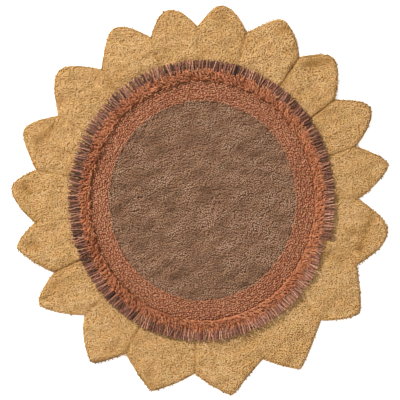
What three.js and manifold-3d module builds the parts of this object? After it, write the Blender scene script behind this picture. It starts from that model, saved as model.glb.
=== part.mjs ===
// A sunflower-shaped tufted rug, lying flat with its pile up. Millimetres, +Z up.
// The origin is on the underside, below the middle of the round brown centre, and +Y is the
// longer way of the flower. Angles are in degrees, anticlockwise from +X.

import * as THREE from 'three';
import Module from 'manifold-3d';

// Clearances between neighbouring pieces
const SEAT_GAP = 0.3;
const RING_GAP = 0.6; // between round pieces, whose straight facets come up to 0.3 nearer
const WELL_GAP = 0.7; // between the fringe's strip and the petals' pile round it

// The round parts are a little longer along Y. Their radii are given along X.
const OVAL = 1.068;
const CENTRE_EDGE = 311; // outside of the brown centre
const LOOP_EDGE = 371; // outside of the rows of loops
const SHAG_EDGE = 402; // outside of the shag's own backing
const HEADING_EDGE = 409; // outside of the narrow strip that holds the fringe
const FRINGE_REACH = 446; // where most strands of the fringe end
const WELL_EDGE = HEADING_EDGE + WELL_GAP;

// Heights above the floor
const CANVAS = 3; // canvas under the round parts, the floor of the well they lie in
const PETAL_PILE = 12;
const CENTRE_PILE = 11;
const LOOP_VALLEY = 11.4;
const LOOP_CREST = 13.2;
const SHAG_PILE = 20;
const HEADING_TOP = 16.4;
const SEAT = CANVAS + SEAT_GAP;

// One row for each petal. tip and reach place its tip, notch and depth the notch after it.
// round is how broad the tip is, and before and after are how far its two sides bulge.
// crease is how deep the groove from the notch to the fringe is, and dip how deep a soft
// trough across the petal is.
const PETALS = [
  { tip: 11, reach: 631, round: 12, before: 20, after: 12, notch: 19.5, depth: 541, crease: 2.6, dip: 0 },
  { tip: 29, reach: 638, round: 26, before: 22, after: 10, notch: 37.3, depth: 554, crease: 4, dip: 0.4 },
  { tip: 47.5, reach: 643, round: 30, before: 15, after: 10, notch: 56, depth: 576, crease: 4, dip: 1 },
  { tip: 66, reach: 659, round: 22, before: 20, after: 8, notch: 75.4, depth: 576, crease: 2.6, dip: 0.6 },
  { tip: 84.5, reach: 652, round: 28, before: 27, after: 4, notch: 91.8, depth: 580, crease: 1.2, dip: 0.6 },
  { tip: 100.3, reach: 644, round: 32, before: 18, after: 9, notch: 107.7, depth: 569, crease: 1.6, dip: 0 },
  { tip: 117.2, reach: 644, round: 32, before: 16, after: 6, notch: 127.7, depth: 551, crease: 1.2, dip: 0 },
  { tip: 138, reach: 645, round: 34, before: 13, after: 14, notch: 149.5, depth: 557, crease: 1.2, dip: 1.4 },
  { tip: 158.5, reach: 640, round: 26, before: 10, after: 8, notch: 169.6, depth: 563, crease: 1.8, dip: 1.8 },
  { tip: 176.5, reach: 637, round: 26, before: 13, after: 16, notch: 187.5, depth: 563, crease: 1.2, dip: 1.6 },
  { tip: 194.3, reach: 639, round: 8, before: 12, after: 13, notch: 205.8, depth: 549, crease: 4, dip: 0.6 },
  { tip: 212.5, reach: 645, round: 16, before: 14, after: 17, notch: 224.1, depth: 547, crease: 1.6, dip: 0 },
  { tip: 235.6, reach: 651, round: 16, before: 26, after: 5, notch: 243.4, depth: 570, crease: 2.6, dip: 0 },
  { tip: 255, reach: 655, round: 10, before: 8, after: 10, notch: 267.4, depth: 576, crease: 2.4, dip: 0.5 },
  { tip: 278.6, reach: 654, round: 10, before: 10, after: -6, notch: 290.9, depth: 565, crease: 0.5, dip: 0 },
  { tip: 300.3, reach: 648, round: 8, before: 8, after: 3, notch: 314.7, depth: 561, crease: 0.4, dip: 0 },
  { tip: 324.4, reach: 643, round: 14, before: 13, after: 7, notch: 337.2, depth: 556, crease: 0.5, dip: 0 },
  { tip: 349.8, reach: 625, round: 42, before: 15, after: 16, notch: 360.7, depth: 519, crease: 1.4, dip: 3 },
];
const PETAL_CROWN = 1.2; // how much higher the pile stands along a petal's middle
const SIDE_LEAVE = 0.45; // how far along a side it bulges most
const SIDE_STEPS = [0, 0.06, 0.2, 0.4, 0.6, 0.8]; // steps along a side, close together at the notch

// The rounded edge of the petals' pile, from the floor up
const PETAL_EDGE = [
  { inset: 3, height: 0 },
  { inset: 0, height: 5 },
  { inset: 2, height: 9.5 },
  { inset: 8, height: 11.8 },
];
const SHARPEST_CORNER = 0.6; // keeps the inset short where two sides meet at a sharp angle

// Rings over the top of the pile. along runs from the well to the edge, and the rest is how much
// of a petal's crown, crease and dip is there.
const PETAL_TOP = [
  { along: 0.85, crown: 0.5, crease: 1, dip: 0.4 },
  { along: 0.66, crown: 1, crease: 0.95, dip: 1 },
  { along: 0.45, crown: 0.8, crease: 0.75, dip: 0.2 },
  { along: 0.22, crown: 0.2, crease: 0.4, dip: 0 },
  { along: 0, crown: 0, crease: 0, dip: 0 },
];

// Places where the loops reach further into the brown centre
const CENTRE_DIPS = [
  { at: 68, depth: 5, width: 10 },
  { at: 242, depth: 3, width: 8 },
  { at: 294, depth: 4, width: 10 },
];
const CENTRE_NAP = 0.4; // soft unevenness of the brushed pile

// Top of the brown pile from its edge in. drop is how far it lies below the full pile, and
// waves how many times it rises and falls once round.
const CENTRE_TOP = [
  { inset: 0, drop: 1.6, waves: 0 },
  { inset: 5, drop: 0.2, waves: 0 },
  { inset: 90, drop: 0, waves: 3 },
  { inset: 200, drop: 0, waves: 2 },
];
const LOOP_ROWS = 8;
const ROUND_SIDES = 60;

// Shag: two columns to a lock, one drawn out over the fringe and one left near the backing
const SHAG_COLUMNS = 180;
const SHAG_LUMPS = 2.4;
const SHAG_CRESTS = [5, 17]; // how far in from the outside the two lumpy crests stand
const SHAG_SHOULDER = 15.2; // height of the shag where it meets the loops
const LOCK_REACH = 10;
const LOCK_UNEVEN = 4;
const LOCK_ROOT = 17;
const LOCK_TIP = 18;
const LOCK_SAG = 0.5;
const BETWEEN_LOCKS = 0.5;

// Fringe: strands in one turn from the joint, where the two ends of the strip meet
const STRANDS = 180;
const HEADING_SIDES = 90;
const FRINGE_JOINT = -16.5;
const JOINT_LONG = 6; // strands on one side of the joint reach this much further
const JOINT_SHORT = 18; // and on the other side they stop short, recovering over the span
const JOINT_SPAN = 14;
const STRAND_UNEVEN = 3;
const STRAND_LEAN = 1.6;
const STRAND_POINT = 2; // how far its cut end bulges
const STRAND_BELLY = 1; // height of that bulge above the base

// Sections of a strand from its root out. half is half its width at the base.
const STRAND_ROOT = { half: 4, base: 12.8, top: 15.8 };
const STRAND_MIDDLE = { half: 5.2, base: 12.9, top: 18 };
const STRAND_END = { half: 4.6, base: 12.8, top: 16.6 };
const STRAND_START = HEADING_EDGE - 3; // rooted this far inside the strip

const YARNS = {
  petal: { color: 0xcb9d5f, roughness: 0.95 },
  centre: { color: 0x84684f, roughness: 0.95 },
  loop: { color: 0xb26a4b, roughness: 0.95 },
  shag: { color: 0xb0613f, roughness: 0.95 },
  fringe: { color: 0x7b5a58, roughness: 0.9 },
};

const wasm = await Module();
wasm.setup();

const radians = THREE.MathUtils.degToRad;

const polar = (angle, radius) =>
  new THREE.Vector2(radius * Math.cos(radians(angle)), radius * Math.sin(radians(angle)));

const onOval = (radius, angle) => polar(angle, radius).multiply(new THREE.Vector2(1, OVAL));

const raise = (place, height) => new THREE.Vector3(place.x, place.y, height);

// A fixed value from -1 to 1 for what is uneven by hand
function uneven(index, seed) {
  const wave = Math.sin(index * 12.9898 + seed * 78.233) * 43758.5453;
  return 2 * (wave - Math.floor(wave)) - 1;
}

// Joins rings of points into a closed surface. Rings run anticlockwise seen from the end they
// lead to. With two end points the ends are closed as fans, and else the last ring meets the first.
function skin(rings, ends = []) {
  const sides = rings[0].length;
  const faces = [];
  const joins = ends.length ? rings.length - 1 : rings.length;
  for (let ring = 0; ring < joins; ring++) {
    const next = (ring + 1) % rings.length;
    for (let side = 0; side < sides; side++) {
      const turn = (side + 1) % sides;
      const a = ring * sides + side;
      const b = ring * sides + turn;
      const c = next * sides + turn;
      const d = next * sides + side;
      faces.push(a, b, c, a, c, d);
    }
  }
  const points = rings.flat().concat(ends);
  if (ends.length) {
    const last = (rings.length - 1) * sides;
    const [foot, head] = [rings.length * sides, rings.length * sides + 1];
    for (let side = 0; side < sides; side++) {
      const turn = (side + 1) % sides;
      faces.push(foot, turn, side);
      faces.push(head, last + side, last + turn);
    }
  }
  const geometry = new THREE.BufferGeometry().setFromPoints(points);
  geometry.setIndex(faces);
  geometry.computeVertexNormals();
  return geometry;
}

// Joins overlapping closed surfaces into one solid
function fuse(geometries) {
  const solids = geometries.map((geometry) => new wasm.Manifold(new wasm.Mesh({
    numProp: 3,
    vertProperties: geometry.getAttribute('position').array,
    triVerts: new Uint32Array(geometry.index.array),
  })));
  const joined = solids.reduce((all, solid) => all.add(solid)).getMesh();
  const geometry = new THREE.BufferGeometry();
  geometry.setAttribute('position', new THREE.BufferAttribute(joined.vertProperties, 3));
  geometry.setIndex(new THREE.BufferAttribute(joined.triVerts, 1));
  geometry.computeVertexNormals();
  return geometry;
}

// Rings of a round piece. section lists its [radius, height] points from the foot of the outside,
// up and over the top.
function ovalRings(sides, section) {
  const angles = Array.from({ length: sides }, (_, column) => 360 * column / sides);
  const columns = angles.map((angle, column) => section(angle, column));
  return columns[0].map((_, row) => columns.map((points, column) => {
    const [radius, height] = points[row];
    return raise(onOval(radius, angles[column]), height);
  }));
}

// One side of a petal, from its notch to its tip. turn is -1 for the side before the tip.
function petalSide(petal, notch, tip, turn, bulge) {
  const chord = tip.clone().sub(notch);
  const outward = new THREE.Vector2(-chord.y, chord.x).normalize().multiplyScalar(turn);
  const sideways = polar(petal.tip + 90 * turn, petal.round);
  const leave = notch.clone().addScaledVector(chord, SIDE_LEAVE).addScaledVector(outward, bulge);
  return new THREE.CubicBezierCurve(notch, leave, tip.clone().add(sideways), tip);
}

// Columns round the flower's outline, with how much crown, crease and dip each has
function petalColumns() {
  return PETALS.flatMap((petal, index) => {
    const last = PETALS.at(index - 1);
    const tip = polar(petal.tip, petal.reach);
    const before = petalSide(petal, polar(last.notch, last.depth), tip, -1, petal.before);
    const after = petalSide(petal, polar(petal.notch, petal.depth), tip, 1, petal.after);
    const column = (side, step) => ({
      place: side.getPoint(step),
      crown: step * PETAL_CROWN,
      crease: step === 0 ? last.crease : 0,
      dip: step * petal.dip,
    });
    return [
      ...SIDE_STEPS.map((step) => column(before, step)),
      column(before, 1),
      ...SIDE_STEPS.slice(1).reverse().map((step) => column(after, step)),
    ];
  });
}

// The way in from the outline at each column, long enough at a corner to keep the edge's width
function waysIn(columns) {
  const leftOf = (from, to) => new THREE.Vector2(from.y - to.y, to.x - from.x).normalize();
  return columns.map(({ place }, index) => {
    const before = leftOf(columns.at(index - 1).place, place);
    const after = leftOf(place, columns[(index + 1) % columns.length].place);
    const corner = Math.max(1 + before.dot(after), SHARPEST_CORNER);
    return before.add(after).divideScalar(corner);
  });
}

function petalMat() {
  const columns = petalColumns();
  const inward = waysIn(columns);
  const insetPlace = (index, inset) => columns[index].place.clone().addScaledVector(inward[index], inset);
  const rim = columns.map(({ place }) => {
    const angle = THREE.MathUtils.radToDeg(Math.atan2(place.y / OVAL, place.x));
    return onOval(WELL_EDGE, angle);
  });
  const edgeTop = PETAL_EDGE.at(-1);
  const edge = PETAL_EDGE.map(({ inset, height }) => columns.map(({ crease }, index) =>
    raise(insetPlace(index, inset), height * (1 - crease / edgeTop.height))));
  const top = PETAL_TOP.map((ring) => columns.map((column, index) => {
    const place = rim[index].clone().lerp(insetPlace(index, edgeTop.inset), ring.along);
    const rise = ring.crown * column.crown - ring.crease * column.crease - ring.dip * column.dip;
    return raise(place, PETAL_PILE + rise);
  }));
  const floor = rim.map((place) => raise(place, CANVAS));
  return skin([...edge, ...top, floor], [new THREE.Vector3(0, 0, 0), new THREE.Vector3(0, 0, CANVAS)]);
}

function centreEdge(angle) {
  const reach = ({ at, depth, width }) => depth * Math.exp(-(((angle - at) / width) ** 2));
  return CENTRE_EDGE - CENTRE_DIPS.reduce((sum, dip) => sum + reach(dip), 0);
}

function centreDisc() {
  const section = (angle) => {
    const top = CENTRE_TOP.map(({ inset, drop, waves }) => {
      const nap = CENTRE_NAP * Math.sin(radians(waves * angle));
      return [centreEdge(angle) - inset, CENTRE_PILE - drop + nap];
    });
    return [[centreEdge(angle), SEAT], ...top];
  };
  return skin(ovalRings(ROUND_SIDES, section), [
    new THREE.Vector3(0, 0, SEAT),
    new THREE.Vector3(0, 0, CENTRE_PILE),
  ]);
}

function loopRing() {
  const section = (angle) => {
    const inner = centreEdge(angle) + RING_GAP;
    const row = (LOOP_EDGE - inner) / LOOP_ROWS;
    const ridges = Array.from({ length: 2 * LOOP_ROWS - 1 }, (_, step) => {
      const height = step % 2 ? LOOP_VALLEY : LOOP_CREST;
      return [LOOP_EDGE - row * (step + 1) / 2, height];
    });
    return [[LOOP_EDGE, SEAT], [LOOP_EDGE, LOOP_VALLEY], ...ridges, [inner, LOOP_VALLEY], [inner, SEAT]];
  };
  return skin(ovalRings(ROUND_SIDES, section));
}

function shagRing() {
  const inner = LOOP_EDGE + RING_GAP;
  const section = (angle, column) => {
    const drawn = column % 2 ? BETWEEN_LOCKS : LOCK_REACH + LOCK_UNEVEN * uneven(column, 1);
    const crests = SHAG_CRESTS.map((inset) =>
      [SHAG_EDGE - inset, SHAG_PILE + SHAG_LUMPS * uneven(column, inset)]);
    return [
      [SHAG_EDGE, SEAT],
      [SHAG_EDGE, LOCK_ROOT],
      [SHAG_EDGE + drawn, LOCK_TIP + LOCK_SAG * uneven(column, 2)],
      ...crests,
      [inner, SHAG_SHOULDER],
      [inner, SEAT],
    ];
  };
  return skin(ovalRings(SHAG_COLUMNS, section));
}

// Where the strand at this many degrees past the joint ends
function strandReach(pastJoint, index) {
  const toJoint = 360 - pastJoint;
  const long = JOINT_LONG * Math.max(0, 1 - pastJoint / JOINT_SPAN);
  const short = JOINT_SHORT * Math.max(0, 1 - toJoint / JOINT_SPAN);
  return FRINGE_REACH + long - short + STRAND_UNEVEN * uneven(index, 5);
}

function strand(index) {
  const pastJoint = 360 * (index + 0.5) / STRANDS;
  const angle = FRINGE_JOINT + pastJoint;
  const reach = strandReach(pastJoint, index);
  const lean = STRAND_LEAN * uneven(index, 6);
  const sideways = onOval(1, angle + 90).normalize();
  const section = ({ half, base, top }, radius, shift) => {
    const middle = onOval(radius, angle).addScaledVector(sideways, shift);
    return [
      raise(middle.clone().addScaledVector(sideways, half), base),
      raise(middle, top),
      raise(middle.clone().addScaledVector(sideways, -half), base),
    ];
  };
  const rings = [
    section(STRAND_ROOT, STRAND_START, 0),
    section(STRAND_MIDDLE, (STRAND_START + reach) / 2, lean / 2),
    section(STRAND_END, reach - STRAND_POINT, lean),
  ];
  const root = raise(onOval(STRAND_START - STRAND_POINT, angle), STRAND_ROOT.base + STRAND_BELLY);
  const point = raise(
    onOval(reach, angle).addScaledVector(sideways, lean),
    STRAND_END.base + STRAND_BELLY,
  );
  return skin(rings, [root, point]);
}

function fringe() {
  const heading = skin(ovalRings(HEADING_SIDES, () => [
    [HEADING_EDGE, SEAT],
    [HEADING_EDGE, HEADING_TOP],
    [SHAG_EDGE + RING_GAP, HEADING_TOP],
    [SHAG_EDGE + RING_GAP, SEAT],
  ]));
  return fuse([heading, ...Array.from({ length: STRANDS }, (_, index) => strand(index))]);
}

function piece(name, geometry, yarn) {
  const material = new THREE.MeshStandardMaterial({ ...yarn, metalness: 0 });
  const mesh = new THREE.Mesh(geometry, material);
  mesh.name = name;
  return mesh;
}

const rug = new THREE.Group();
rug.add(
  piece('petal_mat', petalMat(), YARNS.petal),
  piece('centre_disc', centreDisc(), YARNS.centre),
  piece('loop_ring', loopRing(), YARNS.loop),
  piece('shag_ring', shagRing(), YARNS.shag),
  piece('fringe', fringe(), YARNS.fringe),
);

export default rug;
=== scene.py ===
"""A sunflower-shaped tufted rug on a pale floor, with its pile, loops, shag and fringe."""

import math
from functools import partial

import bmesh
import bpy
from bpy.props import FloatProperty, FloatVectorProperty, IntProperty, PointerProperty
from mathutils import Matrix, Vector, kdtree, noise


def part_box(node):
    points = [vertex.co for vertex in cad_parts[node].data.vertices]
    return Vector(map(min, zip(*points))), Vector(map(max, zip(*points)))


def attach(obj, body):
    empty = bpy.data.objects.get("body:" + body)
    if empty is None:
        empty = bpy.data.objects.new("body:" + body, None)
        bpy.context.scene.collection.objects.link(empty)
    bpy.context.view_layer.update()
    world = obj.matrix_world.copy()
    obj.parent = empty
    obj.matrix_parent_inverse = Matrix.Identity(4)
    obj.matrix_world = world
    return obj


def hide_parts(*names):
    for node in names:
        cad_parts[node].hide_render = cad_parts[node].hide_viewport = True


bl_info = {
    "name": "Sunflower rug",
    "version": (1, 0, 0),
    "blender": (4, 5, 0),
    "location": "View3D > Sidebar > Rug",
    "description": "Plants the pile, loops, shag and fringe of a sunflower-shaped rug",
    "category": "Object",
}

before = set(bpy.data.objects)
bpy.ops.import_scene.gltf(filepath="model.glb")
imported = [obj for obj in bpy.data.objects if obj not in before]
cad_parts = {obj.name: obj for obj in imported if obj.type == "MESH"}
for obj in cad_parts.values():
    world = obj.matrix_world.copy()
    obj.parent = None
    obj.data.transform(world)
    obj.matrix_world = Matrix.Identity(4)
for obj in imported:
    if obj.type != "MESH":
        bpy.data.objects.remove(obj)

# The round parts are a little longer along Y. Their radii are given along X, in metres.
LOOP_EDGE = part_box("loop_ring")[1][0]
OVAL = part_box("loop_ring")[1][1] / LOOP_EDGE
CENTRE_EDGE = 0.311
SHAG_EDGE = 0.402
HEADING_EDGE = 0.409
FRINGE_REACH = 0.438
PILE_EDGE = FRINGE_REACH - 0.008  # the petals' tufts begin here, under the tips of the fringe
RUFFLE_EDGE = FRINGE_REACH - 0.01  # and the rises and dents of their ground begin here

CANVAS = 0.003  # thickness of the mat's canvas
FOOT = 1e-5  # a point below this height lies on the floor
DOWNWARD = -0.99  # a point whose normal has a Z below this is on the flat underside
RIM_LEAST = 0.0022  # least height of the petals' ground where its top has been moved
TUFT_LEAST = 0.0002  # least height of the petals' tufts
SIDE_BARE = 0.0014  # no tufts grow below this height on the petals' sides

# The fringe's two ends meet at this angle, where its yarns are longer on one side and shorter on
# the other over a short span. A thin parting runs across the shag at the other angle.
JOINT = math.radians(-16.5)
JOINT_SPAN = math.radians(14)
JOINT_LONG = 0.006
JOINT_SHORT = 0.018
WEST_LONG = 0.008  # how much further the yarns reach at -X than at the top and bottom
PARTING = math.radians(154.5)
COMBED = math.radians(305)  # the middle of the stretch where the shag's locks lie evenly, and where locks and yarns get painted light
ROW_SHIFT = 0.618  # how far each row starts after the one inside it, in steps of the row
BENDS, BENDS_LEVEL = 24.0, 0.57  # noise that moves the shag's inner edge: its scale and its rest

# Grooves from the notches between petals in to the fringe: angle in degrees, distance of the
# notch from the middle in metres, and how deep the groove is in millimetres
GROOVES = [
    (19.5, 0.541, 2.6), (37.3, 0.554, 4), (56, 0.576, 4), (75.4, 0.576, 1.8), (91.8, 0.58, 1.2),
    (107.7, 0.569, 1.6), (127.7, 0.551, 1.2), (149.5, 0.557, 1.2), (169.6, 0.563, 1.8),
    (187.5, 0.563, 1.2), (205.8, 0.549, 4), (224.1, 0.547, 1.6), (243.4, 0.57, 1.6),
    (267.4, 0.576, 1.6), (290.9, 0.565, 0.5), (314.7, 0.561, 0.4), (337.2, 0.556, 0.5),
    (360.7, 0.519, 1.4),
]
GROOVE_DEEPEST = 4
GROOVE_HALF = 0.0035
GROOVE_SHORT, GROOVE_PAINTED_SHADE = 0.5, 0.6  # how much shorter the tufts are in the deepest one, and how much darker by painted shade

# Soft dents in the petals: one end, the other end, half the width and the depth, in metres.
# Where the depth is below nothing, the pile is pushed up there.
DENTS = [
    (0.251, 0.563, 0.280, 0.573, 0.014, 0.0042), (0.350, 0.454, 0.417, 0.460, 0.013, 0.0042),
    (0.038, 0.613, 0.071, 0.610, 0.012, 0.0028), (-0.497, 0.244, -0.547, 0.191, 0.010, 0.0040),
    (-0.593, 0.048, -0.577, 0.032, 0.014, 0.0042), (-0.580, -0.154, -0.547, -0.154, 0.012, 0.0028),
    (0.566, -0.051, 0.523, -0.164, 0.010, 0.0038), (0.500, -0.356, 0.506, -0.364, 0.013, -0.0028),
    (-0.490, -0.281, -0.517, -0.324, 0.010, 0.0030), (-0.141, -0.576, -0.092, -0.566, 0.013, -0.0026),
]
DENT_DARK = 0.0085  # a dent this deep has its tufts as short, and as darkened by painted shade, as the deepest groove
RIM_FALL, RIM_WIDTH = 0.0040, 0.0080  # how the pile drops towards the petals' outline
HILLS = ((0.080, 0.0040), (0.034, 0.0066))  # width and height of the pile's soft rises
HILLS_RUN = math.radians(25)  # the way in which they are drawn out
BRUSHED = math.radians(24)  # the way in which the brown centre is brushed


def metres(label, told, default, low, high):
    """A length property."""
    return FloatProperty(name=label, description=told, default=default, min=low, max=high, unit="LENGTH")


def whole(label, told, default, low, high):
    """A property that counts things."""
    return IntProperty(name=label, description=told, default=default, min=low, max=high)


def colour(label, told, red, green, blue):
    """A colour property from the red, green and blue of a screen, 0 to 255."""
    linear = [((value / 255 + 0.055) / 1.055) ** 2.4 for value in (red, green, blue)]
    return FloatVectorProperty(
        name=label, description=told, default=linear, size=3, min=0, max=1, subtype="COLOR",
    )


class RugPile(bpy.types.PropertyGroup):
    """Sizes and counts of the yarn in each part of the rug."""

    petal_tuft: metres("Petal tuft height", "How far a petal's tuft stands out", 0.0048, 0.002, 0.02)
    petal_width: metres("Petal tuft width", "Width of a tuft where it is fullest", 0.0052, 0.001, 0.01)
    petal_spacing: metres("Petal tuft spacing", "Least distance between two tufts", 0.00286, 0.002, 0.02)
    centre_tuft: metres("Centre tuft length", "Length of a brushed tuft", 0.0085, 0.002, 0.02)
    centre_spacing: metres("Centre tuft spacing", "Least distance between two tufts", 0.0042, 0.002, 0.02)
    loop_rows: whole("Rows of loops", "Rows between the brown centre and the shag", 10, 1, 20)
    loops_round: whole("Loops in a row", "Loops once round the rug in each row", 350, 40, 600)
    shag_rows: whole("Rows of shag", "Rows of locks between the loops and the fringe", 7, 1, 12)
    shag_round: whole("Locks in a row", "Locks once round the rug in each row", 430, 40, 800)
    fringe_yarns: whole("Fringe yarns", "Twisted yarns once round the rug", 390, 40, 1200)
    fringe_yarn: metres("Fringe yarn width", "Width of one twisted yarn", 0.0046, 0.001, 0.01)


class RugColours(bpy.types.PropertyGroup):
    """Yarn colours, each with a deep, a middle and a light shade."""

    # The petals' deep and light shades are their yarn in shade in the hollows and lit on the crests:
    # painted shade and painted highlight, put on the tufts by their tint.
    petal_deep: colour("Petal deep", "Petal yarn in the hollows of the pile", 178, 131, 66)
    petal_middle: colour("Petal", "Most of the petals' yarn", 207, 164, 104)
    petal_light: colour("Petal light", "Petal yarn on the crests of the pile", 230, 197, 150)
    centre_deep: colour("Centre deep", "Darkest flecks of the centre", 110, 74, 48)
    centre_middle: colour("Centre", "Most of the centre's yarn", 169, 128, 97)
    centre_light: colour("Centre light", "Lightest flecks of the centre", 201, 167, 139)
    loop_deep: colour("Loop deep", "Loop yarn in shade", 154, 84, 52)
    loop_middle: colour("Loop", "Most of the loops' yarn", 202, 134, 94)
    loop_light: colour("Loop light", "Lightest loop yarn", 224, 172, 136)
    shag_deep: colour("Shag deep", "Shag yarn in shade", 156, 84, 46)
    shag_middle: colour("Shag", "Most of the shag's yarn", 204, 130, 86)
    shag_light: colour("Shag light", "Lightest shag yarn", 222, 160, 116)
    fringe_deep: colour("Fringe deep", "Darkest yarns of the fringe", 92, 56, 44)
    fringe_middle: colour("Fringe", "Most of the fringe's yarns", 164, 107, 83)
    fringe_light: colour("Fringe light", "Lightest yarns of the fringe", 206, 151, 122)
    canvas: colour("Canvas", "Plain woven backing", 201, 188, 163)


def put(tree, kind, values=None, **settings):
    """Add a node with its settings, and give each named or numbered input a value or a link."""
    made = tree.nodes.new(kind)
    for name, value in settings.items():
        setattr(made, name, value)
    for key, value in (values or {}).items():
        if isinstance(value, bpy.types.NodeSocket):
            tree.links.new(value, made.inputs[key])
        else:
            made.inputs[key].default_value = value
    return made


def sum_of(kind, operation, values):
    """One step of arithmetic, in the node tree of the first linked value."""
    tree = next(value.id_data for value in values.values() if isinstance(value, bpy.types.NodeSocket))
    return put(tree, kind, values, operation=operation).outputs[0]


def maths(operation, *values):
    """One step of arithmetic with numbers."""
    return sum_of("ShaderNodeMath", operation, dict(enumerate(values)))


add, minus = partial(maths, "ADD"), partial(maths, "SUBTRACT")
times, over = partial(maths, "MULTIPLY"), partial(maths, "DIVIDE")
times_add = partial(maths, "MULTIPLY_ADD")  # the first two multiplied, and the third added
at_least = partial(maths, "MAXIMUM")


def vectors(operation, first, second):
    """One step of arithmetic with vectors."""
    return sum_of("ShaderNodeVectorMath", operation, {0: first, 1: second})


def scaled(vector, size):
    """A vector made longer or shorter."""
    return sum_of("ShaderNodeVectorMath", "SCALE", {0: vector, 3: size})


def xyz(tree, *values):
    """A vector from its numbers."""
    return put(tree, "ShaderNodeCombineXYZ", dict(enumerate(values))).outputs[0]


def chance(tree, low, high, seed):
    """A random number for each point, the same in every run."""
    values = {2: low, 3: high, 8: seed}
    return put(tree, "FunctionNodeRandomValue", values, data_type="FLOAT").outputs[1]


def named(tree, name):
    """An attribute of the mesh, read in a Geometry Nodes tree."""
    return put(tree, "GeometryNodeInputNamedAttribute", {"Name": name}, data_type="FLOAT").outputs[0]


def texture(tree, place, scale, detail):
    """Noise at a place, as its node."""
    return put(tree, "ShaderNodeTexNoise", {"Vector": place, "Scale": scale, "Detail": detail})


def swing(texture_node, size):
    """The colour of a noise as a vector that swings both ways from nothing."""
    return scaled(vectors("SUBTRACT", texture_node.outputs["Color"], (0.5, 0.5, 0.5)), size)


def patches(tree, size, seed, detail=1.0, grain=(0, 0, 0)):
    """Noise with patches of a size in metres, drawn out along the grain, as its node."""
    place = put(tree, "GeometryNodeInputPosition").outputs[0]
    share = put(tree, "ShaderNodeVectorMath", {0: place, 1: grain}, operation="DOT_PRODUCT").outputs[1]
    place = vectors("SUBTRACT", place, scaled(grain, share))
    own_part = (seed * 3.7, seed * 1.3, 0.0)  # each seed looks at another part of the noise
    return texture(tree, vectors("ADD", place, own_part), over(1.0, size), detail)


def start_tree(name, **inputs):
    """A Geometry Nodes tree with the inputs named for each kind, the node that gives them and its end."""
    tree = bpy.data.node_groups.new(name, "GeometryNodeTree")
    tree.interface.new_socket("Geometry", in_out="INPUT", socket_type="NodeSocketGeometry")
    for kind, labels in inputs.items():
        for label in labels.split(", "):
            tree.interface.new_socket(label, in_out="INPUT", socket_type="NodeSocket" + kind)
    tree.interface.new_socket("Geometry", in_out="OUTPUT", socket_type="NodeSocketGeometry")
    return tree, tree.nodes.new("NodeGroupInput").outputs, tree.nodes.new("NodeGroupOutput")


def tint_of(given, base, patchy, own):
    """A tint that differs from its base by patches and by a number of its own."""
    tint = times_add(minus(patchy.outputs["Fac"], 0.5), given["Tint Patchy"], base)
    return times_add(own, given["Tint Own"], tint)


def finish_tree(tree, given, end, instances, tint):
    """Store each instance's tint, make the instances real and give them their yarn."""
    values = {"Geometry": instances, "Name": "tint", "Value": tint}
    tinted = put(tree, "GeometryNodeStoreNamedAttribute", values, data_type="FLOAT", domain="INSTANCE")
    real = put(tree, "GeometryNodeRealizeInstances", {"Geometry": tinted.outputs[0]})
    smooth = put(tree, "GeometryNodeSetShadeSmooth", {"Geometry": real.outputs[0]})
    yarn = put(tree, "GeometryNodeSetMaterial", {"Geometry": smooth.outputs[0], "Material": given["Yarn"]})
    tree.links.new(yarn.outputs[0], end.inputs[0])
    return tree


def pile_tree():
    """Tufts spread over the planted faces of a mesh, leaning together in clumps."""
    tree, given, end = start_tree(
        "Pile over a surface", Object="Tuft", Material="Yarn", Vector="Nap, Grain",
        Float="Spacing, Crowding, Unruly, Clump, Clump Lean, Sweep, Sweep Lean, Uneven, "
              "Tint Patch, Tint Patchy, Tint Own, Side Shade",
    )
    points = put(tree, "GeometryNodeDistributePointsOnFaces", {
        "Mesh": given["Geometry"], "Selection": named(tree, "planted"),
        "Distance Min": given["Spacing"], "Density Max": given["Crowding"], "Seed": 7,
    }, distribute_method="POISSON")
    normal = points.outputs["Normal"]
    clump = swing(patches(tree, given["Clump"], 1, grain=given["Grain"]), given["Clump Lean"])
    sweep = swing(patches(tree, given["Sweep"], 6, grain=given["Grain"]), given["Sweep Lean"])
    own = put(tree, "FunctionNodeRandomValue", {0: (-1, -1, -1), 1: (1, 1, 1), 8: 2},
              data_type="FLOAT_VECTOR").outputs[0]
    lean = vectors("ADD", vectors("ADD", normal, given["Nap"]), vectors("ADD", clump, sweep))
    lean = vectors("ADD", lean, scaled(own, given["Unruly"]))
    lean = vectors("MAXIMUM", lean, (-9, -9, 0.2))  # any way round, but always a little upwards
    spin = put(tree, "FunctionNodeAxisAngleToRotation",
               {"Axis": (0, 0, 1), "Angle": chance(tree, 0.0, math.tau, 3)})
    turned = put(tree, "FunctionNodeAlignRotationToVector",
                 {"Rotation": spin.outputs[0], "Vector": lean}, axis="Z")
    groove = named(tree, "groove")
    wide = add(1.0, times(given["Uneven"], chance(tree, -0.7, 0.7, 4)))
    high = add(1.0, times(given["Uneven"], chance(tree, -1.0, 1.0, 5)))
    high = minus(high, times(groove, GROOVE_SHORT))
    tuft = put(tree, "GeometryNodeObjectInfo", {"Object": given["Tuft"], "As Instance": True})
    planted = put(tree, "GeometryNodeInstanceOnPoints", {
        "Points": points.outputs["Points"], "Instance": tuft.outputs["Geometry"],
        "Rotation": turned.outputs[0], "Scale": xyz(tree, wide, wide, high),
    })
    patchy = patches(tree, given["Tint Patch"], 2, 2.0, given["Grain"])
    tint = tint_of(given, 0.5, patchy, chance(tree, -1.0, 1.0, 6))
    # Painted shade: tufts on steep sides get a lower tint, and so do tufts in grooves and dents.
    side = minus(1.0, at_least(put(tree, "ShaderNodeSeparateXYZ", {0: normal}).outputs[2], 0.0))
    tint = minus(minus(tint, times(groove, GROOVE_PAINTED_SHADE)), times(side, given["Side Shade"]))
    return finish_tree(tree, given, end, planted.outputs[0], tint)


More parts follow.
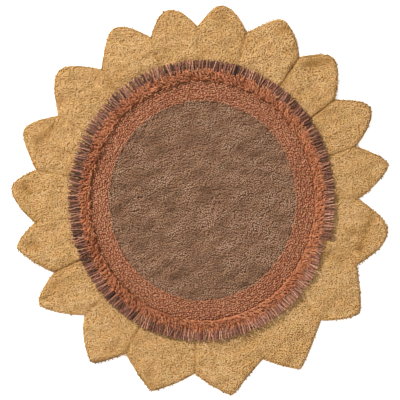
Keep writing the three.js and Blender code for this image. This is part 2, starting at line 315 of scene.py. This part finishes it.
def rows_tree():
    """Loops, locks or yarns in rows round an oval, each turned and tinted a little differently."""
    tree, given, end = start_tree(
        "Rows round an oval", Object="First, Second, Third", Material="Yarn", Int="Rows, Per Row",
        Float="Inner, Outer, Height, Turn, Fan, Stray, Unruly, Clump, Clump Turn, Pitch, Tilt, Lift, "
              "Uneven, Joint, Parting, Combed, Combed Pale, Wander, Bare, Bare Patch, "
              "Tint, Tint Patch, Tint Patchy, Tint Own",
    )
    either = partial(chance, tree, -1.0, 1.0)
    index = put(tree, "GeometryNodeInputIndex").outputs[0]
    row = maths("FLOOR", over(add(index, 0.5), given["Per Row"]))
    step = minus(index, times(row, given["Per Row"]))
    step = add(step, times_add(row, ROW_SHIFT, times(given["Stray"], either(11))))
    angle = times(over(step, given["Per Row"]), math.tau)
    stray = times(given["Stray"], chance(tree, -0.6, 0.6, 12))
    share = over(add(add(row, 0.5), stray), given["Rows"])
    radius = times_add(share, minus(given["Outer"], given["Inner"]), given["Inner"])
    cosine, sine = maths("COSINE", angle), maths("SINE", angle)
    combed = at_least(0.0, maths("COSINE", minus(angle, COMBED)))
    wild = minus(1.0, times(combed, given["Combed"]))
    bends = minus(texture(tree, xyz(tree, cosine, sine), BENDS, 1.0).outputs["Fac"], BENDS_LEVEL)
    bends = times(times(times(bends, given["Wander"]), wild), minus(1.0, share))
    radius = add(radius, bends)
    lift = times_add(chance(tree, 0.0, 1.0, 13), given["Lift"], given["Height"])
    points = put(tree, "GeometryNodePoints", {
        "Count": times(given["Rows"], given["Per Row"]),
        "Position": xyz(tree, times(cosine, radius), times(times(sine, radius), OVAL), lift),
    })

    outward = maths("ARCTAN2", sine, times(cosine, OVAL))
    swirl = times(minus(patches(tree, given["Clump"], 3).outputs["Fac"], 0.5), given["Clump Turn"])
    swirl = times(times_add(either(14), given["Unruly"], swirl), wild)
    fan = times(given["Fan"], minus(1.0, share))
    heading = add(add(outward, given["Turn"]), add(swirl, fan))
    roll = times(given["Unruly"], either(15))
    pitch = times_add(either(16), given["Tilt"], given["Pitch"])
    turned = put(tree, "FunctionNodeEulerToRotation", {"Euler": xyz(tree, roll, pitch, heading)})

    past = maths("MODULO", add(angle, 3 * math.tau - JOINT), math.tau)
    after = at_least(0.0, minus(1.0, over(past, JOINT_SPAN)))
    before = at_least(0.0, minus(1.0, over(minus(math.tau, past), JOINT_SPAN)))
    stretch = minus(times(after, JOINT_LONG), times(before, JOINT_SHORT))
    west_long = times(at_least(0.0, times(cosine, -1.0)), WEST_LONG)
    stretch = times(add(stretch, west_long), given["Joint"])
    long = add(times_add(either(17), given["Uneven"], 1.0), stretch)
    thick = times_add(chance(tree, -0.6, 0.6, 18), given["Uneven"], 1.0)

    aside = times(maths("ABSOLUTE", maths("SINE", minus(angle, PARTING))), radius)
    parted = times(maths("LESS_THAN", cosine, 0.0), maths("LESS_THAN", aside, given["Parting"]))
    cover = patches(tree, given["Bare Patch"], 5).outputs["Fac"]
    covered = maths("GREATER_THAN", cover, times(given["Bare"], wild))

    kinds = put(tree, "GeometryNodeJoinGeometry")
    for label in ("Third", "Second", "First"):
        shape = put(tree, "GeometryNodeObjectInfo", {"Object": given[label], "As Instance": True})
        tree.links.new(shape.outputs["Geometry"], kinds.inputs[0])
    # Each place takes one of the three shapes, from 0 to 2.
    pick = put(tree, "FunctionNodeRandomValue", {4: 0, 5: 2, 8: 19}, data_type="INT").outputs[2]
    placed = put(tree, "GeometryNodeInstanceOnPoints", {
        "Points": points.outputs[0], "Selection": times(minus(1.0, parted), covered),
        "Instance": kinds.outputs[0], "Pick Instance": True, "Instance Index": pick,
        "Rotation": turned.outputs[0], "Scale": xyz(tree, long, thick, thick),
    })
    tint = tint_of(given, given["Tint"], patches(tree, given["Tint Patch"], 4), either(20))
    # Painted light: the tint is paler round the combed stretch at the lower right.
    tint = times_add(combed, given["Combed Pale"], tint)
    return finish_tree(tree, given, end, placed.outputs[0], tint)


def new_object(name, data):
    """An object in the scene for a mesh, a light or a camera."""
    made = bpy.data.objects.new(name, data)
    bpy.context.scene.collection.objects.link(made)
    return made


def drop(*things):
    """Remove helper objects with their meshes."""
    for thing in things:
        mesh = thing.data
        bpy.data.objects.remove(thing)
        bpy.data.meshes.remove(mesh)


def grown(name, source, tree, values):
    """A new piece: the plain mesh that a tree makes from the source. Inputs left out stay at zero."""
    modifier = source.modifiers.new("Grow", "NODES")
    modifier.node_group = tree
    for item in tree.interface.items_tree:
        if item.in_out == "INPUT" and item.name in values:
            modifier[item.identifier] = values[item.name]
    source.update_tag()
    graph = bpy.context.evaluated_depsgraph_get()
    mesh = bpy.data.meshes.new_from_object(
        source.evaluated_get(graph), preserve_all_data_layers=True, depsgraph=graph,
    )
    source.modifiers.remove(modifier)
    if not mesh.polygons:
        raise RuntimeError(f"{name} came out empty")
    mesh.name = name
    return new_object(name, mesh)


def give(mesh, name, values, domain="POINT"):
    """Store one number for each point or face of a mesh."""
    mesh.attributes.new(name, "FLOAT", domain).data.foreach_set("value", values)


def built(name, points, faces, **attributes):
    """An object from points and faces, with numbers for its points."""
    mesh = bpy.data.meshes.new(name)
    mesh.from_pydata(points, [], faces)
    for label, values in attributes.items():
        give(mesh, label, values)
    return new_object(name, mesh)


def tuft_shape(width, height, belly, sides):
    """One cut tuft: narrow at its root, fullest at belly of its height, with a domed tip."""
    ring = [math.tau * side / sides for side in range(sides)]
    points = [(0, 0, 0), (0, 0, height)]
    points += [(width / 2 * math.cos(turn), width / 2 * math.sin(turn), belly * height) for turn in ring]
    faces = []
    for side in range(sides):
        here, there = 2 + side, 2 + (side + 1) % sides
        faces += [(0, there, here), (1, here, there)]
    return built("Tuft", points, faces, rise=[0.0, 1.0] + [belly] * sides)


def swept(name, path, widths, rises, sides, flat=1.0, twist=0.0, cap=0.4):
    """A closed strand along a path, whose oval section turns by twist from one point to the next."""
    path = [Vector(point) for point in path]
    points, risen = [], []
    for step, (place, width, rise) in enumerate(zip(path, widths, rises)):
        ahead = (path[min(step + 1, len(path) - 1)] - path[max(step - 1, 0)]).normalized()
        side = (Vector((0, 1, 0)) - ahead * ahead.y).normalized()
        up = ahead.cross(side)
        turned = Vector((math.cos(twist * step), math.sin(twist * step)))
        for corner in range(sides):
            angle = math.tau * corner / sides
            across, above = width / 2 * math.cos(angle), width / 2 * flat * math.sin(angle)
            rolled = (across * turned.x - above * turned.y, across * turned.y + above * turned.x)
            points.append(place + side * rolled[0] + up * rolled[1])
            risen.append(rise)
    for end, inner in ((0, 1), (-1, -2)):
        points.append(path[end] + (path[end] - path[inner]).normalized() * widths[end] * cap)
        risen.append(rises[end])
    faces = []
    for step in range(len(path) - 1):
        for corner in range(sides):
            here, there = step * sides + corner, step * sides + (corner + 1) % sides
            faces.append((here, there, there + sides, here + sides))
    last = (len(path) - 1) * sides
    for corner in range(sides):
        turn = (corner + 1) % sides
        faces += [(len(points) - 2, turn, corner), (len(points) - 1, last + corner, last + turn)]
    strand = built(name, points, faces, rise=risen)
    bm = bmesh.new()
    bm.from_mesh(strand.data)
    bmesh.ops.recalc_face_normals(bm, faces=bm.faces)
    bm.to_mesh(strand.data)
    bm.free()
    return strand


def merged(node, name):
    """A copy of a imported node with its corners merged."""
    bm = bmesh.new()
    bm.from_mesh(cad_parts[node].data)
    bmesh.ops.remove_doubles(bm, verts=bm.verts, dist=1e-6)
    piece = built(
        name, [point.co.copy() for point in bm.verts],
        [[point.index for point in face.verts] for face in bm.faces],
    )
    bm.free()
    piece.data.shade_smooth()
    return piece


def radius_of(place):
    """Distance from the middle, measured on the oval as along X."""
    return math.hypot(place.x, place.y / OVAL)


def lower(piece, top, side, inner):
    """Take a copy's top and sides back beyond an inner radius, each by its own depth, but not its foot."""
    normals = [point.normal.copy() for point in piece.data.vertices]
    for point, normal in zip(piece.data.vertices, normals):
        place = point.co
        if radius_of(place) < inner or place.z < FOOT and normal.z < DOWNWARD:
            continue
        if place.z < FOOT:
            normal = Vector((normal.x, normal.y, 0)).normalized()
        point.co = place - normal * (side + (top - side) * max(normal.z, 0))
        point.co.z = max(point.co.z, 0.0)


def lower_top(piece, height):
    """Bring everything on a copy that is above a height down to it."""
    for point in piece.data.vertices:
        point.co.z = min(point.co.z, height)


def in_groove(place):
    """How much of a groove there is at a place, from 0 to 1."""
    radius, angle = math.hypot(place.x, place.y), math.atan2(place.y, place.x)
    most = 0.0
    for degrees, reach, depth in GROOVES:
        turn = angle - math.radians(degrees)
        if math.cos(turn) > 0 and radius < reach:
            aside = radius * math.sin(turn) / GROOVE_HALF
            most = max(most, depth / GROOVE_DEEPEST * math.exp(-aside * aside))
    return most


def dent_at(place):
    """How far the pile is pressed down at a place by the dents."""
    here = Vector((place.x, place.y))
    total = 0.0
    for x, y, far_x, far_y, half, depth in DENTS:
        start, along = Vector((x, y)), Vector((far_x - x, far_y - y))
        share = min(max((here - start).dot(along) / along.length_squared, 0), 1)
        total += depth * math.exp(-(((here - start - along * share).length / half) ** 2))
    return total


def rise_at(place):
    """How far the pile's surface lies above its even height, from long hills and from dents."""
    along = place.x * math.cos(HILLS_RUN) + place.y * math.sin(HILLS_RUN)
    across = place.y * math.cos(HILLS_RUN) - place.x * math.sin(HILLS_RUN)
    rise = sum(noise.noise(Vector((along / 2, across, 0.1)) / width) * height for width, height in HILLS)
    return rise - dent_at(place)


def ruffled(piece, cuts, inner):
    """Cut a ground finely and give its top beyond an inner radius hills, dents and a soft rim."""
    bm = bmesh.new()
    bm.from_mesh(piece.data)
    for _ in range(cuts):
        bmesh.ops.subdivide_edges(bm, edges=bm.edges, cuts=1, use_grid_fill=True)
    bm.normal_update()
    rim = [point.co.copy() for point in bm.verts if point.co.z < FOOT and point.normal.z > DOWNWARD]
    outline = kdtree.KDTree(len(rim))
    for index, place in enumerate(rim):
        outline.insert(place, index)
    outline.balance()
    for point in bm.verts:
        place = point.co
        if place.z > CANVAS and radius_of(place) > inner:
            away = outline.find((place.x, place.y, 0))[2]
            fall = RIM_FALL * max(1 - away / RIM_WIDTH, 0) ** 2
            place.z = max(place.z + rise_at(place) * max(point.normal.z, 0) - fall, RIM_LEAST)
    bm.to_mesh(piece.data)
    bm.free()
    for face in piece.data.polygons:
        face.use_smooth = face.normal.z > -0.9  # the underside is flat to its edge


def planting(ground, planted):
    """A helper copy of a ground, marked with where tufts grow and how deep grooves and dents are."""
    mesh = ground.data.copy()
    give(mesh, "planted", [float(planted(face)) for face in mesh.polygons], "FACE")
    # How deep grooves and dents are: their tufts grow shorter and get painted shade.
    pressed = [in_groove(point.co) + max(dent_at(point.co), 0) / DENT_DARK for point in mesh.vertices]
    give(mesh, "groove", pressed)
    return new_object("Planting", mesh)


def centre_bed(height):
    """A helper grid over the brown centre, whose edge lies a little beyond it, and more so at -X."""
    cell, half, shift, spare = 0.0035, 98, 0.002, 0.003
    steps = [index * cell for index in range(-half, half + 1)]
    inside = {}
    points, faces = [], []
    for column, x in enumerate(steps):
        for row, y in enumerate(steps):
            if math.hypot(x + shift, y / OVAL) < CENTRE_EDGE + spare:
                inside[column, row] = len(points)
                points.append((x, y, height + rise_at(Vector((x, y, 0)))))
    for column, row in inside:
        corners = [(column, row), (column + 1, row), (column + 1, row + 1), (column, row + 1)]
        if all(corner in inside for corner in corners):
            faces.append([inside[corner] for corner in corners])
    bed = built("Centre bed", points, faces, groove=[0.0] * len(points))
    give(bed.data, "planted", [1.0] * len(faces), "FACE")
    return bed


def start_material(name, **values):
    """A new material with values for its shader, and its node tree."""
    material = bpy.data.materials.new(name)
    material.use_nodes = True
    tree = material.node_tree
    for key, value in values.items():
        tree.nodes["Principled BSDF"].inputs[key.replace("_", " ")].default_value = value
    return material, tree


def finish_material(material, shown, height, strength, depth):
    """Give a material its colour and the relief of a height."""
    tree = material.node_tree
    rough = put(tree, "ShaderNodeBump", {"Strength": strength, "Distance": depth, "Height": height})
    shader = tree.nodes["Principled BSDF"]
    tree.links.new(shown, shader.inputs["Base Color"])
    tree.links.new(rough.outputs[0], shader.inputs["Normal"])
    return material


def mixed(tree, share, low, high):
    """A colour between two colours."""
    values = {"Factor": share, 6: (*low, 1), 7: (*high, 1)}
    return put(tree, "ShaderNodeMix", values, data_type="RGBA").outputs[2]


def yarn_material(name, shades, fibre, bump, root, heather=0.1):
    """Yarn coloured by its tint and dye, with painted shade towards its root, and fine fibres with their
    bump.
    """
    material, tree = start_material(
        name, Roughness=0.92, Specular_IOR_Level=0.18, Sheen_Weight=0.15, Sheen_Roughness=0.55,
    )
    place = put(tree, "ShaderNodeTexCoord").outputs["Object"]
    tint = put(tree, "ShaderNodeAttribute", attribute_name="tint").outputs["Fac"]
    rise = put(tree, "ShaderNodeAttribute", attribute_name="rise").outputs["Fac"]
    fibres = texture(tree, place, fibre, 3.0).outputs["Fac"]
    faded = texture(tree, place, 7.0, 3.0).outputs["Fac"]
    # Single fibres move the shade by up to 0.35 both ways, and slow fading by up to 0.2.
    shade = add(add(tint, times_add(fibres, 0.7, -0.35)), times_add(faded, 0.4, -0.2))
    ramp = put(tree, "ShaderNodeValToRGB", {"Fac": shade})
    stops = (0.0, 0.2, 0.5, 0.9)
    for stop in stops[1:3]:  # a new ramp has its first and its last stop
        ramp.color_ramp.elements.new(stop)
    # The darkest stop takes the darkest random tints and the strongest painted shade of steep sides,
    # grooves and dents.
    darkest = [value * 0.5 for value in shades[0]]
    for element, stop, rgb in zip(ramp.color_ramp.elements, stops, (darkest, *shades)):
        element.position = stop
        element.color = (*rgb, 1)
    # Painted shade: the colour falls to root times itself where the rise is nothing, at the yarn's root.
    buried = put(tree, "ShaderNodeMapRange", {
        "Value": rise, "From Min": 0.0, "From Max": 0.9, "To Min": root, "To Max": 1.0,
    })
    dye = vectors("ADD", swing(texture(tree, place, 34.0, 2.0), 2 * heather), (1, 1, 1))
    shown = vectors("MULTIPLY", vectors("MULTIPLY", ramp.outputs["Color"], dye), buried.outputs[0])
    return finish_material(material, shown, fibres, bump, 0.001)


def ground_material(name, shades, size, dark=0.45, pale=0.75):
    """The matted base of the pile that shows only in the gaps between tufts, darkened by dark and pale as
    painted shade in those gaps.
    """
    material, tree = start_material(name, Roughness=0.95, Specular_IOR_Level=0.1)
    place = put(tree, "ShaderNodeTexCoord").outputs["Object"]
    matted = texture(tree, place, 1 / size, 3.0).outputs["Fac"]
    deep, middle, _ = shades
    # Painted shade: the deep and middle shades are darkened by dark and pale.
    shown = mixed(tree, matted, [value * dark for value in deep], [value * pale for value in middle])
    return finish_material(material, shown, matted, 0.6, 0.003)


def canvas_material(rgb, thread):
    """Plain woven backing: warp over weft in turn, with uneven threads."""
    material, tree = start_material("Canvas", Roughness=0.9, Specular_IOR_Level=0.2)
    place = put(tree, "ShaderNodeTexCoord").outputs["Object"]
    place = vectors("ADD", place, swing(texture(tree, place, 60.0, 2.0), thread * 0.5))
    band = math.tau / 20 / thread  # one wave of the texture to a thread
    warp = put(tree, "ShaderNodeTexWave", {"Vector": place, "Scale": band}, bands_direction="X")
    weft = put(tree, "ShaderNodeTexWave", {"Vector": place, "Scale": band}, bands_direction="Y")
    above = put(tree, "ShaderNodeTexChecker", {"Vector": place, "Scale": 1 / thread})
    woven = put(tree, "ShaderNodeMix", {
        "Factor": above.outputs["Fac"], 2: warp.outputs["Fac"], 3: weft.outputs["Fac"],
    }, data_type="FLOAT").outputs[0]
    slubs = texture(tree, place, 350.0, 2.0).outputs["Fac"]
    shown = mixed(tree, add(times(woven, 0.6), times(slubs, 0.4)), [value * 0.55 for value in rgb], rgb)
    return finish_material(material, shown, woven, 0.6, 0.0008)


def dress(piece, slot, *nodes):
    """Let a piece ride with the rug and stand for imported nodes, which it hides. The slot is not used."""
    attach(piece, "root")
    if nodes:
        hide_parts(*nodes)


def backed(piece, pile, canvas):
    """Give a ground its matted pile above and canvas below."""
    piece.data.materials.append(pile)
    piece.data.materials.append(canvas)
    for face in piece.data.polygons:
        if face.normal.z < -0.5 or face.normal.z < 0.5 and face.center.z < CANVAS * 0.6:
            face.material_index = 1


def settings_of(part):
    """The sizes of the yarn, and the deep, middle and light shade of one part."""
    scene = bpy.context.scene
    shades = [getattr(scene.rug_colours, f"{part}_{depth}") for depth in ("deep", "middle", "light")]
    return scene.rug_pile, shades


def in_rows(name, slot, shapes, values):
    """A piece of loops, locks or yarns: three shapes in rows round the rug."""
    seat = new_object("Seat", bpy.data.meshes.new("Seat"))
    piece = grown(name, seat, rows_tree(), {**dict(zip(("First", "Second", "Third"), shapes)), **values})
    dress(piece, slot)
    drop(seat, *shapes)


class RUG_OT_petals(bpy.types.Operator):
    """Make the petals: a canvas-backed ground and cut pile that leans together in clumps"""

    bl_idname = "rug.petals"
    bl_label = "Petals"

    def execute(self, context):
        pile, shades = settings_of("petal")
        yarn = yarn_material("Petal yarn", shades, fibre=900.0, bump=0.3, root=0.88, heather=0.05)
        canvas = canvas_material(context.scene.rug_colours.canvas, thread=0.0016)
        ground = merged("petal_mat", "petal_ground")
        tall = pile.petal_tuft
        lower(ground, top=tall * 0.85, side=tall * -0.3, inner=HEADING_EDGE + 0.002)
        ruffled(ground, cuts=2, inner=RUFFLE_EDGE)
        backed(ground, ground_material("Petal ground", shades, size=0.004, dark=1.0, pale=1.0), canvas)
        dress(ground, "petal_yarn", "petal_mat")

        tuft = tuft_shape(pile.petal_width, tall, belly=0.77, sides=6)
        tree = pile_tree()
        for name, way in (("petal_pile_right", 1), ("petal_pile_left", -1)):
            def planted(face):  # the top and the upper part of the sides, on one half of the rug
                above = face.center.z > SIDE_BARE and face.normal.z > -0.3 or face.normal.z > 0.5
                return above and radius_of(face.center) > PILE_EDGE and face.center.x * way >= 0

            bed = planting(ground, planted)
            piece = grown(name, bed, tree, {
                "Tuft": tuft, "Yarn": yarn, "Spacing": pile.petal_spacing, "Crowding": 160000.0,
                "Unruly": 0.2, "Clump": 0.009, "Clump Lean": 1.1, "Sweep": 0.03, "Sweep Lean": 1.6,
                "Uneven": 0.1,
                "Tint Patch": 0.02, "Tint Patchy": 0.42, "Tint Own": 0.1, "Side Shade": 1.2,
            })
            for point in piece.data.vertices:
                point.co.z = max(point.co.z, TUFT_LEAST)
            dress(piece, "petal_yarn")
            drop(bed)
        drop(tuft)
        return {"FINISHED"}


class RUG_OT_centre(bpy.types.Operator):
    """Make the brown centre: low pile brushed flat in streaks"""

    bl_idname = "rug.centre"
    bl_label = "Centre"

    def execute(self, context):
        pile, shades = settings_of("centre")
        yarn = yarn_material("Centre yarn", shades, fibre=1100.0, bump=0.25, root=0.96)
        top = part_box("centre_disc")[1][2]
        ground = merged("centre_disc", "centre_ground")
        lower_top(ground, top - 0.0072)
        matted = ground_material("Centre ground", shades, size=0.004, dark=0.9, pale=1.0)
        ground.data.materials.append(matted)
        dress(ground, "centre_yarn", "centre_disc")
        tuft = tuft_shape(width=0.0048, height=pile.centre_tuft, belly=0.66, sides=4)
        bed = centre_bed(top - 0.0042)
        nap, streak = ((size * math.cos(BRUSHED), size * math.sin(BRUSHED), 0.0) for size in (1.3, 0.7))
        piece = grown("centre_pile", bed, pile_tree(), {
            "Tuft": tuft, "Yarn": yarn, "Spacing": pile.centre_spacing, "Crowding": 90000.0,
            "Nap": nap, "Grain": streak, "Unruly": 0.4, "Uneven": 0.2,
            "Clump": 0.012, "Clump Lean": 0.8, "Sweep": 0.05, "Sweep Lean": 1.5,
            "Tint Patch": 0.03, "Tint Patchy": 1.0, "Tint Own": 0.06,
        })
        dress(piece, "centre_yarn")
        drop(tuft, bed)
        return {"FINISHED"}


class RUG_OT_loops(bpy.types.Operator):
    """Make the rows of loops round the centre"""

    bl_idname = "rug.loops"
    bl_label = "Loops"

    def execute(self, context):
        pile, shades = settings_of("loop")
        yarn = yarn_material("Loop yarn", shades, fibre=1000.0, bump=0.4, root=0.55)
        ground = merged("loop_ring", "loop_ground")
        lower_top(ground, 0.0074)
        matted = ground_material("Loop ground", shades, size=0.003, dark=0.6, pale=0.7)
        ground.data.materials.append(matted)
        dress(ground, "loop_yarn", "loop_ring")
        half, buried, width, steps = 0.0016, 0.0015, 0.0036, 6
        shapes = []
        for name, tall, askew in (
            ("Loop one", 0.0066, 0.0), ("Loop two", 0.0058, 0.0010), ("Loop three", 0.0072, -0.0010),
        ):
            turns = [math.pi * step / (steps - 1) for step in range(steps)]
            path = [
                (-half * math.cos(turn), askew * math.cos(2 * turn), tall * math.sin(turn) - buried)
                for turn in turns
            ]
            # The rise is lowest where a loop enters the ground, for painted shade there.
            rises = [max(point[2], 0) / tall * 1.2 for point in path]
            shapes.append(swept(name, path, [width] * steps, rises, sides=4, cap=0.0))
        in_rows("loops", "loop_yarn", shapes, {
            "Yarn": yarn, "Rows": pile.loop_rows, "Per Row": pile.loops_round,
            "Inner": CENTRE_EDGE - 0.001, "Outer": LOOP_EDGE, "Height": 0.0071,
            "Turn": math.pi / 2, "Stray": 0.3, "Unruly": 0.75, "Clump": 0.02, "Clump Turn": 1.5,
            "Tilt": 0.25, "Lift": 0.0014, "Uneven": 0.14, "Bare Patch": 0.02,
            "Tint": 0.49, "Tint Patch": 0.012, "Tint Patchy": 0.55, "Tint Own": 0.12,
        })
        return {"FINISHED"}


class RUG_OT_shag(bpy.types.Operator):
    """Make the shag ring: curled locks that fall over the fringe"""

    bl_idname = "rug.shag"
    bl_label = "Shag"

    def execute(self, context):
        pile, shades = settings_of("shag")
        yarn = yarn_material("Shag yarn", shades, fibre=900.0, bump=0.4, root=0.82)
        ground = merged("shag_ring", "shag_ground")
        step_at, inner_top, outer_top = LOOP_EDGE + 0.003, 0.008, 0.0135
        for point in ground.data.vertices:
            spread = radius_of(point.co)
            point.co.z = min(point.co.z, outer_top if spread > step_at else inner_top)
            if spread > SHAG_EDGE:
                point.co.x *= SHAG_EDGE / spread
                point.co.y *= SHAG_EDGE / spread
        ground.data.materials.append(ground_material("Shag ground", shades, size=0.004))
        dress(ground, "shag_yarn", "shag_ring")
        # The rises give each lock painted shade at its root.
        widths, rises = (0.003, 0.0038, 0.0044, 0.0040, 0.0024), (0, 0.3, 0.8, 1, 1)
        shapes = []
        for name, reach, rise, sway in (
            ("Lock one", 0.0130, 0.0064, 0.0024), ("Lock two", 0.0105, 0.0074, -0.0026),
            ("Lock three", 0.0150, 0.0054, 0.0014),
        ):
            path = [
                (0, 0, -0.001), (0.0006, 0, rise * 0.6), (reach * 0.3, sway, rise),
                (reach * 0.68, -sway, rise * 0.95), (reach, sway * 0.4, rise * 0.52),
            ]
            shapes.append(swept(name, path, widths, rises, sides=4, flat=0.75, twist=0.5))
        in_rows("shag_locks", "shag_yarn", shapes, {
            "Yarn": yarn, "Rows": pile.shag_rows, "Per Row": pile.shag_round,
            "Inner": LOOP_EDGE + 0.0035, "Outer": SHAG_EDGE + 0.003, "Height": 0.0125,
            "Fan": 1.5, "Stray": 0.6, "Unruly": 0.6, "Clump": 0.013, "Clump Turn": 3.0,
            "Tilt": 0.3, "Lift": 0.002, "Uneven": 0.2, "Parting": 0.0022, "Wander": 0.022,
            "Combed": 0.85, "Combed Pale": 0.12, "Bare": 0.37, "Bare Patch": 0.018,
            "Tint": 0.4, "Tint Patch": 0.012, "Tint Patchy": 0.8, "Tint Own": 0.08,
        })
        return {"FINISHED"}


class RUG_OT_fringe(bpy.types.Operator):
    """Make the fringe: a narrow sewn strip and its twisted yarns"""

    bl_idname = "rug.fringe"
    bl_label = "Fringe"

    def execute(self, context):
        pile, shades = settings_of("fringe")
        yarn = yarn_material("Fringe yarn", shades, fibre=900.0, bump=0.4, root=0.5)
        inner, outer, low, top, bevel = SHAG_EDGE + 0.0006, HEADING_EDGE, 0.0033, 0.0154, 0.0012
        section = (
            (outer, low), (outer, top - bevel), (outer - bevel, top),
            (inner + bevel, top), (inner, top - bevel), (inner, low),
        )
        corners, sides = len(section), 180
        points, faces = [], []
        for column in range(sides):
            angle = math.tau * column / sides
            points += [(r * math.cos(angle), r * OVAL * math.sin(angle), z) for r, z in section]
            for row in range(corners):
                here, there = (column * corners + corner for corner in (row, (row + 1) % corners))
                after, beside = ((place + corners) % (corners * sides) for place in (here, there))
                faces.append((here, after, beside, there))
        heading = built("fringe_heading", points, faces)
        heading.data.shade_smooth()
        heading.data.materials.append(ground_material("Fringe heading", shades, size=0.003))
        dress(heading, "fringe_yarn", "fringe")

        reach, steps = FRINGE_REACH - SHAG_EDGE, 14
        # The rises give each yarn painted shade where it starts under the shag.
        rises = [min(1.0, 0.2 + step / 8) for step in range(steps)]
        # The lower layer's low tint is painted shade in the gaps between the upper yarns.
        for name, wider, more, height, (tint, patchy, own) in (
            ("fringe_under", 1.1, 1.4, 0.0146, (0.2, 0.4, 0.08)),
            ("fringe_yarns", 1.0, 1.0, 0.0168, (0.47, 1.0, 0.26)),
        ):
            width = pile.fringe_yarn * wider
            shapes = []
            for label, sway, hump in (
                ("one", 0.0014, 0.0030), ("two", -0.0018, 0.0018), ("three", 0.0003, 0.0040),
            ):
                path = []
                for step in range(steps):
                    share = step / (steps - 1)
                    bend = sway * math.sin(math.tau * share * 0.8)
                    path.append((reach * share, bend, hump * math.sin(math.pi * share * 0.7)))
                widths = [width] * (steps - 2) + [width * 1.1, width * 0.8]
                shape = swept("Yarn " + label, path, widths, rises, sides=6, flat=0.62, twist=0.85)
                shapes.append(shape)
            in_rows(name, "fringe_yarn", shapes, {
                "Yarn": yarn, "Rows": 1, "Per Row": int(pile.fringe_yarns * more),
                "Inner": SHAG_EDGE, "Outer": SHAG_EDGE, "Height": height,
                "Stray": 0.25, "Unruly": 0.1, "Clump": 0.018, "Clump Turn": 0.8, "Pitch": -0.09,
                "Tilt": 0.04, "Lift": 0.0016, "Uneven": 0.1, "Joint": 1 / reach,
                "Combed": 0.1, "Combed Pale": 0.14, "Bare Patch": 0.02,
                "Tint": tint, "Tint Patch": 0.012, "Tint Patchy": patchy, "Tint Own": own,
            })
        return {"FINISHED"}


class RUG_OT_cloth(bpy.types.Operator):
    bl_idname = "rug.cloth"
    bl_label = "Cloth"

    def execute(self, context):
        return {"FINISHED"}


class RUG_OT_stage(bpy.types.Operator):
    """Lay the pale floor, set the lights and look straight down on the rug"""

    bl_idname = "rug.stage"
    bl_label = "Stage"

    def execute(self, context):
        scene = context.scene
        half, low = 8, -0.0005
        around = [(-half, -half, low), (half, -half, low), (half, half, low), (-half, half, low)]
        floor = built("floor", around, [(0, 1, 2, 3)])
        material, _ = start_material(
            "Pale floor", Base_Color=(0.85, 0.85, 0.85, 1), Roughness=0.8,
            Emission_Color=(1, 1, 1, 1), Emission_Strength=0.52,
        )
        floor.data.materials.append(material)

        world = bpy.data.worlds.new("Studio")
        world.use_nodes = True
        background = world.node_tree.nodes["Background"]
        background.inputs["Color"].default_value = (1, 1, 1, 1)
        background.inputs["Strength"].default_value = 0.45
        scene.world = world
        for name, place, size, power in (
            ("Key", (-4.4, 4.4, 4.2), 1.7, 800.0),
            ("Fill", (0.9, -3.0, 2.6), 2.4, 42.0),
        ):
            light = bpy.data.lights.new(name, "AREA")
            light.shape = "DISK"
            light.size = size
            light.energy = power
            lamp = new_object(name, light)
            lamp.location = place
            lamp.rotation_euler = (-Vector(place)).to_track_quat("-Z", "Y").to_euler()

        view, above = 1.329, 0.012  # width of the view, and the height at which it is measured
        lens = bpy.data.cameras.new("Camera")
        lens.sensor_width, lens.lens = 36, 100
        camera = new_object("Camera", lens)
        camera.location = (-0.0085, 0.0018, view * lens.lens / lens.sensor_width + above)
        scene.camera = camera
        scene.view_settings.view_transform = "Standard"
        return {"FINISHED"}


STEPS = (
    RUG_OT_petals, RUG_OT_centre, RUG_OT_loops, RUG_OT_shag, RUG_OT_fringe, RUG_OT_cloth, RUG_OT_stage,
)


class RUG_PT_panel(bpy.types.Panel):
    """Steps and settings of the rug."""

    bl_idname = "RUG_PT_panel"
    bl_label = "Sunflower rug"
    bl_space_type = "VIEW_3D"
    bl_region_type = "UI"
    bl_category = "Rug"

    def draw(self, context):
        for step in STEPS:
            self.layout.operator(step.bl_idname)
        for group in (context.scene.rug_pile, context.scene.rug_colours):
            for name in group.bl_rna.properties.keys():
                if name not in ("rna_type", "name"):
                    self.layout.prop(group, name)


CLASSES = (RugPile, RugColours, *STEPS, RUG_PT_panel)


def register():
    for kind in CLASSES:
        bpy.utils.register_class(kind)
    bpy.types.Scene.rug_pile = PointerProperty(type=RugPile)
    bpy.types.Scene.rug_colours = PointerProperty(type=RugColours)


def unregister():
    del bpy.types.Scene.rug_colours
    del bpy.types.Scene.rug_pile
    for kind in reversed(CLASSES):
        bpy.utils.unregister_class(kind)


def main():
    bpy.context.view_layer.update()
    register()
    bpy.ops.rug.petals()
    bpy.ops.rug.centre()
    bpy.ops.rug.loops()
    bpy.ops.rug.shag()
    bpy.ops.rug.fringe()
    bpy.ops.rug.cloth()
    bpy.ops.rug.stage()


if __name__ == "__main__":
    main()
